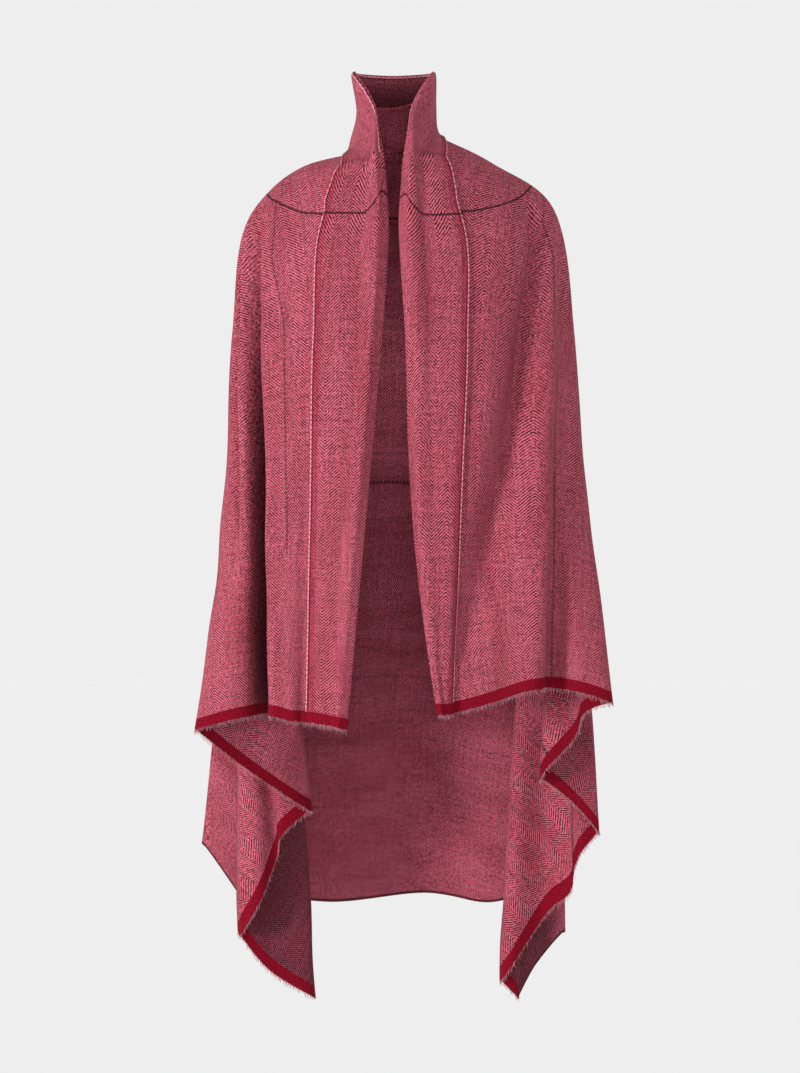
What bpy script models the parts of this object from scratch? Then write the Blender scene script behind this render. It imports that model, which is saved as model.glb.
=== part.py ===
# A worn cape: one handwoven rectangle of wool. Its upper selvage is turned outward as a standing
# collar and as a strip down both fronts, and its short ends hang in front in side cascades.
# Metres, +Z up, -Y is the front. The origin is the middle of the neck base.
# In the tables, lengths are millimetres as they line up from in front: across is out from the
# middle plane, depth is towards the back, down is below the neck base.
import math
from collections import namedtuple

import bmesh
import bpy
from mathutils import Vector

mm = 0.001
wall = 1.6 * mm                 # woven wool with its nap
seam_gap = 0.2 * mm             # each piece stops this far short of the seam line
band_depth = 15 * mm            # woven end band
root_depth = 2.5 * mm           # narrow strip that carries the fringe
strand_length = 8 * mm
strand_width = 2.4 * mm
strand_pitch = 18 * mm
viewing_distance = 4.0          # the tables' lengths line up from here
viewing_height = -0.54

neck_middle = Vector((-9, -9, 0))
neck_half_width = 57
neck_half_depth = 68
neck_lift = {-1: 0, 1: 26}      # the shoulder on +X sits higher at the neck
ridge_share = {-1: 0.25, 1: 0.40}
slope_share = 0.42              # part of the fall from neck to shoulder tip, half way out

weft_row = 1.6                  # the dark weft line, where the fronts begin
last_row = 6                    # neck, shoulder, tip, chest, waist, hip, hem
crest_reach = 3.0 * mm          # how far the opening fold stands out from the front's edge
crest_lift = 2.2 * mm
strip_lift = 4.6 * mm
fold_bend = 8                   # half the width of a fold's round crest at the hem, in mm
bend_turn = 0.15                # degrees round the neck for each millimetre of that

Guide = namedtuple("Guide", "name turn tip_across tip_depth tip_down chest_across chest_depth "
                            "hem_across hem_depth hem_down flare")
chest_down = 250

# One row for each fold, ridge or valley, from the opening round to the middle of the back
left_guides = [
    Guide("opening", 17, 19, -104, 105, 28, -130, 78, -165, 812, 1.0),
    Guide("strip middle", 30, 62, -106, 112, 75, -134, 106, -161, 806, 1.0),
    Guide("strip edge", 46, 108, -98, 116, 121, -126, 132, -157, 802, 1.0),
    Guide("inner ridge", 58, 150, -80, 114, 158, -112, 157, -160, 800, 1.0),
    Guide("lip", 67, 178, -60, 106, 184, -86, 176, -150, 794, 1.0),
    Guide("valley", 73, 190, -46, 102, 199, -66, 182, -120, 788, 1.0),
    Guide("outer ridge", 79, 203, -28, 96, 219, -46, 234, -138, 798, 1.3),
    Guide("fold one", 84, 211, -6, 88, 235, -16, 288, -126, 812, 1.8),
    Guide("fold two", 90, 211, 8, 86, 226, 8, 128, -30, 926, 0.6),
    Guide("third layer", 95, 211, 15, 88, 229, 20, 176, -22, 992, 0.8),
    Guide("fold three", 99, 210, 22, 90, 231, 30, 225, -12, 1101, 1.0),
    Guide("fourth layer", 103, 209, 29, 92, 225, 40, 186, 18, 1150, 0.8),
    Guide("corner", 108, 207, 36, 95, 218, 50, 121, 42, 1190, 0.5),
    Guide("selvage front", 113, 204, 46, 98, 217, 64, 205, 84, 1075, 0.8),
    Guide("fold five", 119, 200, 56, 101, 214, 78, 278, 122, 985, 1.2),
    Guide("back side", 135, 150, 90, 112, 165, 112, 215, 158, 1030, 1.0),
    Guide("back middle", 157, 75, 108, 118, 84, 130, 105, 188, 1055, 1.0),
]
centre_guide = Guide("centre", 180, 0, 112, 120, 28, 136, 44, 216, 1041, 1.0)
right_guides = [
    Guide("opening", 17, 2, -104, 105, 11, -130, 56, -168, 792, 2.0),
    Guide("strip middle", 30, 45, -108, 112, 55, -134, 63, -167, 792, 1.5),
    Guide("strip edge", 46, 88, -102, 114, 95, -128, 72, -162, 790, 1.1),
    Guide("front middle", 58, 135, -88, 110, 140, -114, 126, -156, 776, 1.0),
    Guide("front ridge", 68, 176, -62, 100, 184, -92, 180, -150, 758, 1.0),
    Guide("navy valley", 74, 194, -44, 92, 212, -62, 213, -120, 753, 1.0),
    Guide("side ridge", 80, 206, -24, 82, 232, -36, 262, -136, 762, 1.3),
    Guide("fold one", 84, 214, -4, 74, 243, -10, 299, -124, 774, 1.3),
    Guide("second layer", 88, 214, 4, 75, 240, 0, 245, -84, 800, 1.0),
    Guide("fold two", 92, 213, 11, 77, 234, 10, 199, -36, 882, 0.8),
    Guide("fold three", 97, 211, 20, 80, 236, 28, 279, -8, 957, 1.0),
    Guide("fourth layer", 101, 209, 28, 84, 230, 40, 242, 14, 1012, 1.0),
    Guide("inner lobe", 104, 207, 35, 88, 224, 48, 197, 30, 1075, 0.8),
    Guide("fold four", 108, 205, 42, 92, 218, 56, 142, 46, 1165, 0.6),
    Guide("corner", 113, 203, 50, 96, 218, 66, 166, 68, 1190, 0.7),
    Guide("selvage front", 118, 200, 58, 98, 218, 76, 228, 92, 1105, 1.0),
    Guide("fold five", 123, 196, 66, 100, 214, 86, 268, 124, 1035, 1.2),
    Guide("back side", 138, 148, 92, 112, 160, 114, 215, 160, 1045, 1.0),
    Guide("back middle", 159, 75, 108, 118, 80, 130, 120, 190, 1056, 1.0),
]

CollarRow = namedtuple("CollarRow", "name turn edge_across edge_depth edge_down "
                                    "free_turn free_row free_lift")
# The folded edge runs up from the opening to the front corner and round behind the neck
collar_rows = [
    CollarRow("notch", 17, 18, -77, -8, 46, 0.60, 3.5),
    CollarRow("rise", 26, 22, -78, -40, 56, 0.45, 4),
    CollarRow("break", 34, 27, -74, -65, 66, 0.36, 4),
    CollarRow("lead", 44, 39, -64, -89, 76, 0.30, 4),
    CollarRow("corner", 55, 57, -46, -112, 86, 0.27, 4),
    CollarRow("side", 92, 59, 2, -114, 112, 0.24, 5),
    CollarRow("back side", 135, 42, 42, -114, 140, 0.16, 6),
]
collar_centre = CollarRow("centre", 180, 0, 60, -112, 180, 0.10, 7)
collar_waist = {-1: 7, 1: -1}   # inward pull of both layers at mid height
fold_radius = 3 * mm
notch_gap = 1.2 * mm            # the collar leaves the strip at an angle, so it stops shorter
stand_seat = 2.0 * mm           # the stand's lower edge sits on the shoulder's upper face


def placed(across, depth, down, side):
    """A point that lines up with these lengths from in front, at its own depth."""
    near = 1 + depth * mm / viewing_distance
    height = viewing_height + (-down * mm - viewing_height) * near
    return Vector((side * across * mm * near, depth * mm, height))


def hermite(before, start, end, after, t, pull):
    """Centripetal spline from start to end, so close points make no loops; pull rounds it."""
    first = max((start - before).length, 1e-7) ** 0.5
    span = max((end - start).length, 1e-7) ** 0.5
    last = max((after - end).length, 1e-7) ** 0.5
    leave = (start - before) / first - (end - before) / (first + span) + (end - start) / span
    arrive = (end - start) / span - (after - start) / (span + last) + (after - end) / last
    leave *= span * pull
    arrive *= span * pull
    return (start * (2 * t ** 3 - 3 * t ** 2 + 1) + leave * (t ** 3 - 2 * t ** 2 + t)
            + end * (3 * t ** 2 - 2 * t ** 3) + arrive * (t ** 3 - t ** 2))


def spline(points, u, pull=1.0):
    last = len(points) - 1
    i = min(max(int(math.floor(u)), 0), last - 1)
    before = points[i - 1] if i > 0 else points[0] * 2 - points[1]
    after = points[i + 2] if i + 2 <= last else points[last] * 2 - points[last - 1]
    return hermite(before, points[i], points[i + 1], after, u - i, pull)


def neck_point(turn, side):
    angle = math.radians(turn)
    across = neck_middle.x * side + neck_half_width * math.sin(angle)
    depth = neck_middle.y - neck_half_depth * math.cos(angle)
    down = -neck_lift[side] * math.sin(angle) ** 2
    return across, depth, down


def guide_keys(guide, side, bend=0):
    """The seven points that one guide passes through, from the neck to the hem.

    A fold has two guides, bend apart at the hem, so that its crest is round."""
    neck = neck_point(guide.turn + bend * bend_turn, side)
    tip = (guide.tip_across, guide.tip_depth, guide.tip_down)
    slope = abs(math.cos(math.radians(guide.turn)))
    share = ridge_share[side] + (slope_share - ridge_share[side]) * slope
    middle = [(a + b) / 2 for a, b in zip(neck, tip)]
    middle[2] = neck[2] + (tip[2] - neck[2]) * share
    chest = (guide.chest_across, guide.chest_depth, chest_down)
    hem = (guide.hem_across, guide.hem_depth, guide.hem_down)
    keys = [neck, middle, tip, chest]
    for fall in (0.35, 0.68):
        spread = fall ** guide.flare
        key = [a + (b - a) * spread for a, b in zip(chest, hem)]
        key[2] = chest[2] + (hem[2] - chest[2]) * fall
        keys.append(key)
    keys.append(hem)
    opened = [0.1, 0.2, 0.3, 0.45, 0.65, 0.85, 1]
    return [placed(across, depth + bend * share, down, side)
            for (across, depth, down), share in zip(keys, opened)]


def side_guides(rows, side):
    """Each row with its side and bend; a fold or a corner gives two."""
    found = []
    for guide in rows:
        doubled = guide.name.startswith(("fold", "corner"))
        found += [(guide, side, bend) for bend in ((-fold_bend, fold_bend) if doubled else (0,))]
    return found


guides = (side_guides(left_guides, -1) + [(centre_guide, 1, 0)]
          + side_guides(right_guides, 1)[::-1])
guide_curves = [guide_keys(*entry) for entry in guides]
last_guide = len(guides) - 1
column_cache = {}


def guide_place(name, side):
    """The place of a guide, the one nearest the opening where it has two."""
    found = [i for i, entry in enumerate(guides) if entry[0].name == name and entry[1] == side]
    return found[0] if side < 0 else found[-1]


def column_point(index, row):
    key = (index, round(row, 6))
    if key not in column_cache:
        column_cache[key] = spline(guide_curves[index], row)
    return column_cache[key]


def cloth(place, row):
    """The cloth's middle surface: place counts guides from the left opening, row runs down."""
    i = min(max(int(math.floor(place)), 0), last_guide - 1)
    start = column_point(i, row)
    end = column_point(i + 1, row)
    before = column_point(i - 1, row) if i > 0 else start * 2 - end
    after = column_point(i + 2, row) if i + 2 <= last_guide else end * 2 - start
    return hermite(before, start, end, after, place - i, 1.0)


def directions(place, row):
    """Unit vectors along the places, down the rows and out of the cloth."""
    step = 0.01
    ahead = cloth(min(place + step, last_guide), row)
    behind = cloth(max(place - step, 0), row)
    lower = cloth(place, min(row + step, last_row))
    upper = cloth(place, max(row - step, 0))
    along = (ahead - behind).normalized()
    downward = (lower - upper).normalized()
    return along, downward, along.cross(downward).normalized()


def cloth_moved(place, row, along_by=0.0, down_by=0.0, out_by=0.0):
    along, downward, out = directions(place, row)
    return cloth(place, row) + along * along_by + downward * down_by + out * out_by


def station(place, row, along_by=0.0, down_by=0.0):
    return cloth_moved(place, row, along_by, down_by), directions(place, row)[2]


def hem_slant(place):
    """Length down the cloth for each unit of distance square to its hem, evened out."""
    total = 0
    for shift in (-0.6, -0.3, 0, 0.3, 0.6):
        along, downward, out = directions(min(max(place + shift, 0), last_guide), last_row)
        total += 1 / max(along.cross(downward).length, 0.35)
    return total / 5


def above_hem(place, distance):
    """A point of the cloth this far above its hem, or in line below it where that is negative."""
    along, downward, out = directions(place, last_row)
    distance *= hem_slant(place)
    if distance <= 0:
        return cloth(place, last_row) - downward * distance
    return cloth(place, hem_row(place, distance))


def hem_out(place, distance):
    """The way out of the cloth at that point, the same for pieces that meet there."""
    row = hem_row(place, distance * hem_slant(place)) if distance > 0 else last_row
    return directions(place, row)[2]


def hem_row(place, distance):
    """The row at this distance, measured down the cloth, above the hem."""
    step = 0.1
    length = (cloth(place, last_row) - cloth(place, last_row - step)).length / step
    return last_row - distance / length


def band_row(place, gap=0.0):
    """The row at which the end band begins."""
    return hem_row(place, (band_depth + gap) * hem_slant(place))


def place_of_turn(turn, side):
    """The place on the cloth whose guide leaves the neck at this angle."""
    ring = [(guide.turn if at < 0 or guide.turn == 180 else 360 - guide.turn)
            for guide, at, bend in guides]
    wanted = turn if side < 0 else 360 - turn
    for i in range(last_guide):
        if ring[i] <= wanted <= ring[i + 1] and ring[i] < ring[i + 1]:
            return i + (wanted - ring[i]) / (ring[i + 1] - ring[i])
    return last_guide if wanted > ring[-1] else 0


def material(name, colour, roughness):
    made = bpy.data.materials.new(name)
    made.use_nodes = True
    shader = made.node_tree.nodes["Principled BSDF"]
    shader.inputs["Base Color"].default_value = (*colour, 1)
    shader.inputs["Roughness"].default_value = roughness
    shader.inputs["Metallic"].default_value = 0
    return made


def add_object(name, bm, finish):
    """Turn the closed body's faces outward and link it as an object."""
    bmesh.ops.recalc_face_normals(bm, faces=bm.faces)
    if bm.calc_volume(signed=True) < 0:
        bmesh.ops.reverse_faces(bm, faces=bm.faces)
    mesh = bpy.data.meshes.new(name)
    bm.to_mesh(mesh)
    bm.free()
    mesh.materials.append(finish)
    mesh.shade_smooth()
    made = bpy.data.objects.new(name, mesh)
    bpy.context.collection.objects.link(made)
    return made


def cloth_object(name, grids, finish):
    """A wall of cloth on grids of stations, each a point of its middle and the way out of it."""
    bm = bmesh.new()
    verts, outs = {}, {}
    for columns in grids:
        for here, there in zip(columns, columns[1:]):
            for k in range(len(here) - 1):
                corners = []
                for point, out in (here[k], here[k + 1], there[k + 1], there[k]):
                    key = tuple(round(value, 7) for value in point)
                    if key not in verts:
                        verts[key] = bm.verts.new(point - out * (wall / 2))
                        outs[tuple(verts[key].co)] = out
                    corners.append(verts[key])
                bm.faces.new(corners)
    bmesh.ops.triangulate(bm, faces=bm.faces, quad_method="SHORT_EDGE")
    raised = bmesh.ops.extrude_face_region(bm, geom=bm.faces[:])["geom"]
    for vert in (item for item in raised if isinstance(item, bmesh.types.BMVert)):
        vert.co += outs[tuple(vert.co)] * wall
    return add_object(name, bm, finish)


def stations_along(line, downward, side):
    """Stations on a line of points that runs to the opening or away from it over the fold."""
    found = []
    for i, point in enumerate(line):
        run = line[min(i + 1, len(line) - 1)] - line[max(i - 1, 0)]
        found.append((point, run.cross(downward[i]).normalized() * side))
    return found


def stations_on_grid(columns):
    """Stations on a grid of points, with their ways out worked out from their neighbours."""
    found = []
    for i, column in enumerate(columns):
        before, after = columns[max(i - 1, 0)], columns[min(i + 1, len(columns) - 1)]
        stations = []
        for k, point in enumerate(column):
            across = after[k] - before[k]
            run = column[min(k + 1, len(column) - 1)] - column[max(k - 1, 0)]
            stations.append((point, across.cross(run).normalized()))
        found.append(stations)
    return found


def spread(start, end, count):
    return [start + (end - start) * k / count for k in range(count + 1)]


def places_between(start, end, steps):
    """Places with this many steps in each guide's interval."""
    found = [start]
    k = math.floor(start * steps + 1e-6) + 1
    while k / steps < end - 1e-6:
        found.append(k / steps)
        k += 1
    return found + [end]


steps_across = 3
yoke_rows = spread(0, weft_row, 4)
front_row_count = 10
seam_places = {-1: guide_place("fold five", -1) + 1.5, 1: guide_place("fold five", 1) - 1.5}
corner_places = {-1: guide_place("corner", -1), 1: guide_place("corner", 1)}
opening_places = {-1: 0, 1: last_guide}


def front_places(side):
    """Places across one front, from its opening to the seam with the back."""
    inner, corner, seam = opening_places[side], corner_places[side], seam_places[side]
    just_past = corner - side * 0.02
    near = places_between(min(inner, corner), max(inner, corner), steps_across)
    far = places_between(min(just_past, seam), max(just_past, seam), steps_across)
    return near + far if side < 0 else far + near


def in_band(place, side):
    return place <= corner_places[side] if side < 0 else place >= corner_places[side]


def make_front(name, side, finish):
    columns = []
    for place in front_places(side):
        edge = seam_gap * side if place == seam_places[side] else 0
        last = band_row(place, seam_gap) if in_band(place, side) else last_row
        rows = spread(weft_row, last, front_row_count)
        column = [station(place, row, along_by=edge) for row in rows]
        column[0] = station(place, weft_row, along_by=edge, down_by=seam_gap)
        columns.append(column)
    return cloth_object(name, [columns], finish)


def make_back(finish):
    """Both shoulders down to the weft line, and the back down to the lower selvage."""
    left, right = seam_places[-1], seam_places[1]
    middle = places_between(left, right, steps_across)
    yoke_left = front_places(-1)[:-1]
    yoke_right = front_places(1)[1:]
    columns = []
    for place in yoke_left + middle + yoke_right:
        short = not left <= place <= right
        column = []
        for k, row in enumerate(yoke_rows):
            nudge = -seam_gap if k == len(yoke_rows) - 1 and short else 0
            column.append(station(place, row, down_by=nudge))
        columns.append(column)
    lower = []
    for place in middle:
        edge = {left: seam_gap, right: -seam_gap}.get(place, 0)
        rows = spread(weft_row, last_row, front_row_count)
        column = [station(place, row, along_by=edge) for row in rows]
        column[0] = station(place, weft_row)
        lower.append(column)
    return cloth_object("back", [columns, lower], finish)


def strip_rise(share, row):
    """How far the turned-back strip stands off the front, from the fold to its free edge."""
    roll = 7 * mm * math.exp(-((share - 0.16) / 0.11) ** 2)
    low = min(max((row - 3.5) / 2.5, 0), 1)
    return (4.6 - 1.1 * share) * mm + roll * (1 - 0.5 * low)


strip_shares = [0.05, 0.14, 0.24, 0.36, 0.55, 0.78, 1.0]
strip_width = 2                 # guides that the strip covers
strip_slant = 0.6               # rows by which its upper cut drops towards the free edge


def strip_point(side, share, row, down_by=0.0):
    """A point of the strip, on the front's surface and moved out."""
    place = opening_places[side] - side * strip_width * share
    slant = strip_slant * share * max(1 - row / weft_row, 0)
    return cloth_moved(place, row + slant, 0, down_by, strip_rise(share, row))


def strip_line(side, row, down_by=0.0):
    """One line across the strip, from beside the front's edge round to its free selvage."""
    line = fold_points(side, row, down_by)
    return line + [strip_point(side, share, row, down_by) for share in strip_shares]


def fold_points(side, row, down_by=0.0):
    """The opening fold: from beside the front's edge, round its crest, to above the front."""
    place = opening_places[side]
    route = ((0.9 * mm, 0.3 * mm), (crest_reach, crest_lift), (0.8 * mm, strip_lift))
    return [cloth_moved(place, row, side * reach, down_by, lift) for reach, lift in route]


def make_lapel(name, side, finish):
    last = band_row(opening_places[side])
    rows = spread(0, last, 15)
    ends = {rows[0]: seam_gap, rows[-1]: -seam_gap}
    lines = []
    for row in rows:
        line = strip_line(side, row, ends.get(row, 0))
        downward = directions(opening_places[side], row)[1]
        lines.append(stations_along(line, [downward] * len(line), side))
    return cloth_object(name, [lines], finish)


def hem_path(side, distance):
    """Points along one end of the cloth: corner, front, opening fold, turned-back strip."""
    inner, corner = opening_places[side], corner_places[side] + side * 0.04
    places = places_between(min(inner, corner), max(inner, corner), steps_across)
    if side < 0:
        places.reverse()
    line = [(above_hem(place, distance), hem_out(place, distance)) for place in places]
    strip = strip_line(side, band_row(inner), band_depth - distance)
    downward = directions(inner, band_row(inner))[1]
    return line + stations_along(strip, [downward] * len(strip), side)[1:]


def make_end_band(name, side, finish):
    upper = hem_path(side, band_depth - seam_gap)
    middle = hem_path(side, band_depth / 2)
    lower = hem_path(side, 0)
    return cloth_object(name, [[upper, middle, lower]], finish)


def strand_breaks(length):
    """Shares along one length of hem at which strand roots begin and end."""
    count = int(round(length / strand_pitch))
    breaks = [0]
    for k in range(count):
        middle = (k + 0.5) / count
        breaks += [middle - strand_width / 2 / length, middle + strand_width / 2 / length]
    return breaks


def part_way(start, end, share):
    return start[0].lerp(end[0], share), start[1].lerp(end[1], share)


def make_fringe(name, side, finish):
    """A narrow strip along the band's lower edge, with pointed strands fused to it."""
    upper_line = hem_path(side, -3 * seam_gap)
    lower_line = hem_path(side, -3 * seam_gap - root_depth)
    top, bottom, rooted = [], [], []
    for k in range(len(upper_line) - 1):
        breaks = strand_breaks((upper_line[k + 1][0] - upper_line[k][0]).length)
        for number, share in enumerate(breaks):
            top.append(part_way(upper_line[k], upper_line[k + 1], share))
            bottom.append(part_way(lower_line[k], lower_line[k + 1], share))
            rooted.append(number % 2 == 1)
    top.append(upper_line[-1])
    bottom.append(lower_line[-1])
    bm = bmesh.new()
    rings = []
    for i, (upper, lower) in enumerate(zip(top, bottom)):
        corners = ((upper, 1), (lower, 1), (lower, -1), (upper, -1))
        rings.append([bm.verts.new(point + out * (sign * wall / 2))
                      for (point, out), sign in corners])
    roots, ways = [], []
    for i, (here, there) in enumerate(zip(rings, rings[1:])):
        for k in range(4):
            following = (k + 1) % 4
            face = bm.faces.new((here[k], here[following], there[following], there[k]))
            if k == 1 and rooted[i]:
                roots.append(face)
                ways.append((bottom[i][0] - top[i][0]).normalized())
    bm.faces.new(rings[0][::-1])
    bm.faces.new(rings[-1])
    poked = bmesh.ops.poke(bm, faces=roots)
    for vert, way in zip(poked["verts"], ways):
        vert.co += way * strand_length
    return add_object(name, bm, finish)


def collar_column(row, side):
    """Key points of one collar column: up the stand, over the folded edge, down the fall."""
    if row.name == "notch":
        line = strip_line(side, 0, -notch_gap)
        return [line[0].lerp(line[1], k / stand_count) for k in range(stand_count)] + line[1:]
    base = cloth(place_of_turn(row.turn, side), 0) + Vector((0, 0, stand_seat))
    edge_across = neck_middle.x * side + row.edge_across
    edge = placed(edge_across, row.edge_depth, row.edge_down, side)
    angle = math.radians(row.turn)
    out = Vector((side * math.sin(angle), -math.cos(angle), 0))
    waist = collar_waist[side] * mm * math.sin(angle)
    height = edge.z - base.z
    radius = min(fold_radius, height * 0.3)
    drop = Vector((0, 0, -radius))
    inner_top = edge - out * radius + drop
    outer_top = edge + out * radius + drop
    middle = base.lerp(edge, 0.5)
    inner_middle = middle - out * (waist + radius)
    outer_middle = middle - out * (waist - radius)
    outer_low = base.lerp(edge, 0.16) + out * (radius + 1.5 * mm)
    free_place = place_of_turn(row.free_turn, side)
    free = cloth_moved(free_place, row.free_row, out_by=row.free_lift * mm)
    stand = [base, inner_middle, inner_top, edge]
    hanging = [edge, outer_top, outer_middle, outer_low, free]
    stand = [spline(stand, 3 * k / stand_count) for k in range(stand_count)]
    fall_count = len(strip_shares) + 1
    hanging = [spline(hanging, 4 * k / fall_count) for k in range(fall_count + 1)]
    lying = strip_line(side, 0, -notch_gap)[1:]
    step = edge - lying[0]
    lying = [point + step * (1 - k / fall_count) ** 2 for k, point in enumerate(lying)]
    hang = min(max((height - 8 * mm) / (70 * mm), 0), 1)
    hang = hang * hang * (3 - 2 * hang)
    return stand + [low.lerp(high, hang) for low, high in zip(lying, hanging)]


stand_count = 3
collar_key_rows = ([(row, -1) for row in collar_rows] + [(collar_centre, 1)]
                   + [(row, 1) for row in reversed(collar_rows)])


def make_collar(finish):
    keys = [collar_column(row, side) for row, side in collar_key_rows]
    lines = [list(line) for line in zip(*keys)]
    places = spread(0, len(keys) - 1, 2 * (len(keys) - 1))
    columns = [[spline(line, place) for line in lines] for place in places]
    return cloth_object("collar", [stations_on_grid(columns)], finish)


def main():
    for item in list(bpy.data.objects):
        bpy.data.objects.remove(item, do_unlink=True)
    wool = material("herringbone_wool", (0.39, 0.064, 0.107), 0.9)
    band = material("crimson_wool", (0.34, 0.004, 0.024), 0.9)
    yarn = material("frayed_yarn", (0.45, 0.10, 0.15), 0.95)
    make_back(wool)
    make_collar(wool)
    for word, side in (("left", -1), ("right", 1)):
        make_front("front_" + word, side, wool)
        make_lapel("lapel_" + word, side, wool)
        make_end_band("end_band_" + word, side, band)
        make_fringe("fringe_" + word, side, yarn)


main()
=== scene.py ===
# A worn cape with nobody in it: one rectangle of handwoven herringbone wool. Metres, +Z up, -Y is the
# front. The tables hold millimetres as they line up from in front: across is out from the middle plane,
# depth is towards the back, down is below the neck base.
import math
from collections import namedtuple

import bmesh
import bpy
import numpy as np
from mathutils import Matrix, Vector


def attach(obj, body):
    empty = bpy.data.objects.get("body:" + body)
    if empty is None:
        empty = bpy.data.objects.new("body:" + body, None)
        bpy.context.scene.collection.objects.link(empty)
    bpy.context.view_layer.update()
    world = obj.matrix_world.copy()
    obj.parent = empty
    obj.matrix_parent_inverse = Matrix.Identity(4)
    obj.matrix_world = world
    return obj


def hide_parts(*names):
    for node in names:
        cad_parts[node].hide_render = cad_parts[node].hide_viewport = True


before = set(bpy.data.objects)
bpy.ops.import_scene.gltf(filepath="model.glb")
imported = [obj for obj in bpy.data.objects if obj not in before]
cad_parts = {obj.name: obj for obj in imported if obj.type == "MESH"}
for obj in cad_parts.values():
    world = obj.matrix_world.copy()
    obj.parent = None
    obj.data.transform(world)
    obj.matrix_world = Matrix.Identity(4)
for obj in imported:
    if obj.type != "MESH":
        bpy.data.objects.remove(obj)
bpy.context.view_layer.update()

mm = 0.001
wall = 1.6 * mm                     # woven wool with its nap
view = {"distance": 4.0, "height": -0.54, "frameHeight": 1.513}

neck = {"across": -9, "depth": -9, "halfWidth": 57, "halfDepth": 68, "lift": {-1: 0, 1: 26},
        "ridgeShare": {-1: 0.25, 1: 0.40}, "slopeShare": 0.42}
cloth = {"weftRow": 1.6, "lastRow": 6, "chestDown": 250, "foldBend": 8, "bendTurn": 0.15,
         "bandDepth": 15 * mm, "falls": (0.35, 0.68), "opened": (0.1, 0.2, 0.3, 0.45, 0.65, 0.85, 1)}

Guide = namedtuple("Guide", "name turn tipAcross tipDepth tipDown chestAcross chestDepth "
                            "hemAcross hemDepth hemDown flare")
# One row for each fold, ridge or valley, from the opening round to the middle of the back
leftGuides = [
    Guide("opening", 17, 19, -104, 105, 28, -130, 78, -165, 812, 1.0),
    Guide("strip middle", 30, 62, -106, 112, 75, -134, 106, -161, 806, 1.0),
    Guide("strip edge", 46, 108, -98, 116, 121, -126, 132, -157, 802, 1.0),
    Guide("inner ridge", 58, 150, -80, 114, 158, -112, 157, -160, 800, 1.0),
    Guide("lip", 67, 178, -60, 106, 184, -86, 172, -151, 794, 1.0),
    Guide("valley", 73, 190, -46, 102, 199, -66, 179, -118, 788, 1.0),
    Guide("outer ridge", 79, 203, -28, 96, 219, -46, 234, -138, 798, 1.3),
    Guide("fold one", 84, 211, -6, 88, 235, -16, 288, -126, 812, 1.8),
    Guide("fold two", 90, 211, 8, 86, 226, 8, 128, -30, 926, 0.6),
    Guide("third layer", 95, 211, 15, 88, 229, 20, 176, -22, 992, 0.8),
    Guide("fold three", 99, 210, 22, 90, 231, 30, 225, -12, 1101, 1.0),
    Guide("fourth layer", 103, 209, 29, 92, 225, 40, 186, 18, 1150, 0.8),
    Guide("corner", 108, 207, 36, 95, 218, 50, 121, 42, 1190, 0.5),
    Guide("selvage front", 113, 204, 46, 98, 217, 64, 205, 84, 1075, 0.8),
    Guide("fold five", 119, 200, 56, 101, 214, 78, 273, 122, 978, 1.2),
    Guide("back side", 135, 150, 90, 112, 165, 112, 215, 158, 1030, 1.0),
    Guide("back middle", 157, 75, 108, 118, 84, 130, 105, 188, 1055, 1.0),
]
centreGuide = Guide("centre", 180, 0, 112, 120, 28, 136, 44, 216, 1041, 1.0)
rightGuides = [
    Guide("opening", 17, 2, -104, 105, 11, -130, 56, -168, 792, 2.0),
    Guide("strip middle", 30, 45, -108, 112, 55, -134, 63, -167, 792, 1.5),
    Guide("strip edge", 46, 88, -102, 114, 95, -128, 72, -162, 790, 1.1),
    Guide("front middle", 58, 135, -88, 110, 140, -114, 126, -156, 776, 1.0),
    Guide("front ridge", 68, 176, -62, 100, 184, -92, 180, -150, 758, 1.0),
    Guide("navy valley", 74, 194, -44, 92, 212, -62, 213, -120, 753, 1.0),
    Guide("side ridge", 80, 206, -24, 82, 232, -36, 262, -136, 762, 1.3),
    Guide("fold one", 84, 214, -4, 74, 243, -10, 299, -124, 774, 1.3),
    Guide("second layer", 88, 214, 4, 75, 240, 0, 245, -84, 800, 1.0),
    Guide("fold two", 92, 213, 11, 77, 234, 10, 199, -36, 882, 0.8),
    Guide("fold three", 97, 211, 20, 80, 236, 28, 279, -8, 957, 1.0),
    Guide("fourth layer", 101, 209, 28, 84, 230, 40, 242, 14, 1012, 1.0),
    Guide("inner lobe", 104, 207, 35, 88, 224, 48, 197, 30, 1075, 0.8),
    Guide("fold four", 108, 205, 42, 92, 218, 56, 142, 46, 1165, 0.6),
    Guide("corner", 113, 203, 50, 96, 218, 66, 166, 68, 1190, 0.7),
    Guide("selvage front", 118, 200, 58, 98, 218, 76, 190, 92, 1150, 1.0),
    Guide("fold five", 123, 196, 66, 100, 214, 86, 231, 124, 1098, 1.2),
    Guide("back side", 138, 148, 92, 112, 160, 114, 215, 160, 1045, 1.0),
    Guide("back middle", 159, 75, 108, 118, 80, 130, 120, 190, 1056, 1.0),
]


def placed(across, depth, down, side):
    near = 1 + depth * mm / view["distance"]
    height = view["height"] + (-down * mm - view["height"]) * near
    return [side * across * mm * near, depth * mm, height]


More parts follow.
